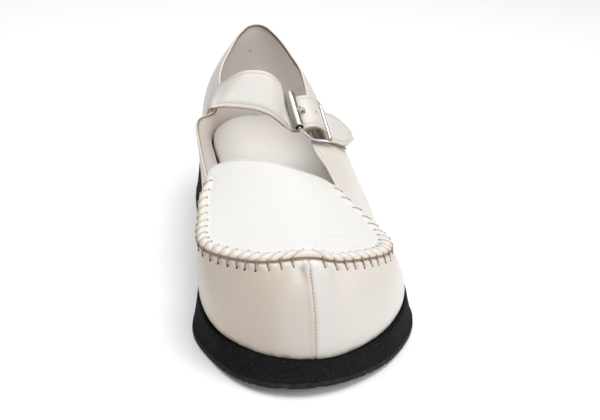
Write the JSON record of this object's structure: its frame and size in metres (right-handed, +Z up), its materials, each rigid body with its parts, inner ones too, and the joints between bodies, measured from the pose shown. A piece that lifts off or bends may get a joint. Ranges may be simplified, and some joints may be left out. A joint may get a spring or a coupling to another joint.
{
  "type": "shoe",
  "caption": "Left-foot Mary Jane shoe with a hand-sewn apron toe, open throat, buckled instep strap and a thick foam sole on a thin lugged tread.",
  "frame": {"origin": "on the floor under the middle of the sole's bounding box", "axes": "+Z up, -Y towards the toe, +X towards the wearer's left, which is the lateral side of this left shoe"},
  "size_m": [0.1108, 0.272, 0.0982],
  "materials": {
    "tread_rubber": "matte black rubber, slightly greyer than the foam",
    "sole_foam": "matte black foam with a fine speckle",
    "upper_leather": "smooth semi-gloss ivory leather, sewn with beige thread",
    "insole_cover": "pale grey, unprinted",
    "strap_leather": "smooth semi-gloss ivory leather with fine edge stitching",
    "buckle_steel": "polished, lightly tarnished"
  },
  "bodies": {
    "root": {"outsole": "tread_rubber", "midsole": "sole_foam", "upper": "upper_leather", "insole": "insole_cover", "strap": "strap_leather", "buckle_tab": "strap_leather", "buckle_frame": "buckle_steel", "buckle_roller": "buckle_steel", "buckle_prong": "buckle_steel"}
  },
  "joints": []
}
